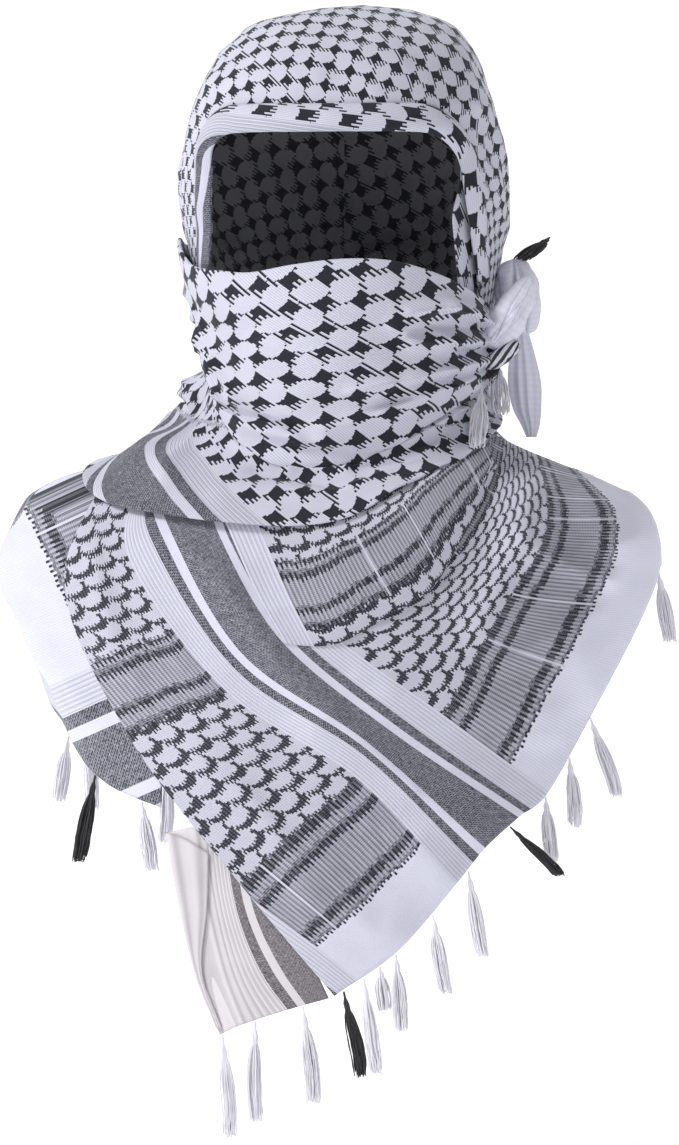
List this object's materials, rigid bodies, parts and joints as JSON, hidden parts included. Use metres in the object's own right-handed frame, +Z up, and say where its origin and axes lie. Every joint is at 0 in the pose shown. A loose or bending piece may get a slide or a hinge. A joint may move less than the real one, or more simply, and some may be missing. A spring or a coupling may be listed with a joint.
{
  "type": "fringed scarf",
  "caption": "Square fringed cotton scarf wound as a hood, face cover and cowl, tied at the side, with one corner hanging on the chest.",
  "frame": {"origin": "inside of the crown, where the wearer's head holds the scarf", "axes": "+Z up along the longest extent, -Y out of the eye opening, +X to the right side seen from the front, where the knot is"},
  "size_m": [0.4031, 0.2994, 0.68],
  "materials": {
    "houndstooth_cotton": "matte",
    "border_cotton": "matte",
    "white_cotton": "matte",
    "black_cotton": "matte"
  },
  "bodies": {
    "root": {"hood": "houndstooth_cotton", "brow_fold": "houndstooth_cotton", "cheek_fold": "houndstooth_cotton", "face_wrap": "houndstooth_cotton", "neck_wrap": "houndstooth_cotton", "shoulder_cape": "border_cotton", "front_drape": "border_cotton", "chest_swag": "border_cotton", "under_panel": "border_cotton", "under_fold": "border_cotton", "knot_puff": "white_cotton", "knot_band": "white_cotton", "knot_loop": "white_cotton", "knot_tail": "white_cotton", "tassel_shoulder_1": "white_cotton", "tassel_shoulder_2": "black_cotton", "tassel_shoulder_3": "white_cotton", "tassel_back_1": "white_cotton", "tassel_back_2": "white_cotton", "tassel_back_3": "black_cotton", "tassel_back_4": "white_cotton", "tassel_back_5": "white_cotton", "tassel_back_6": "white_cotton", "tassel_back_7": "white_cotton", "tassel_under_1": "white_cotton", "tassel_under_2": "white_cotton", "tassel_under_3": "white_cotton", "tassel_front_1": "black_cotton", "tassel_front_2": "white_cotton", "tassel_front_3": "white_cotton", "tassel_front_4": "white_cotton", "tassel_front_5": "white_cotton", "tassel_front_6": "white_cotton", "tassel_front_7": "black_cotton", "tassel_front_8": "white_cotton", "tassel_front_9": "white_cotton", "tassel_front_10": "white_cotton", "tassel_front_11": "white_cotton", "knot_strands_white": "white_cotton", "knot_strands_dark": "black_cotton", "knot_strands_loose": "white_cotton", "knot_strands_top": "black_cotton"}
  },
  "joints": []
}
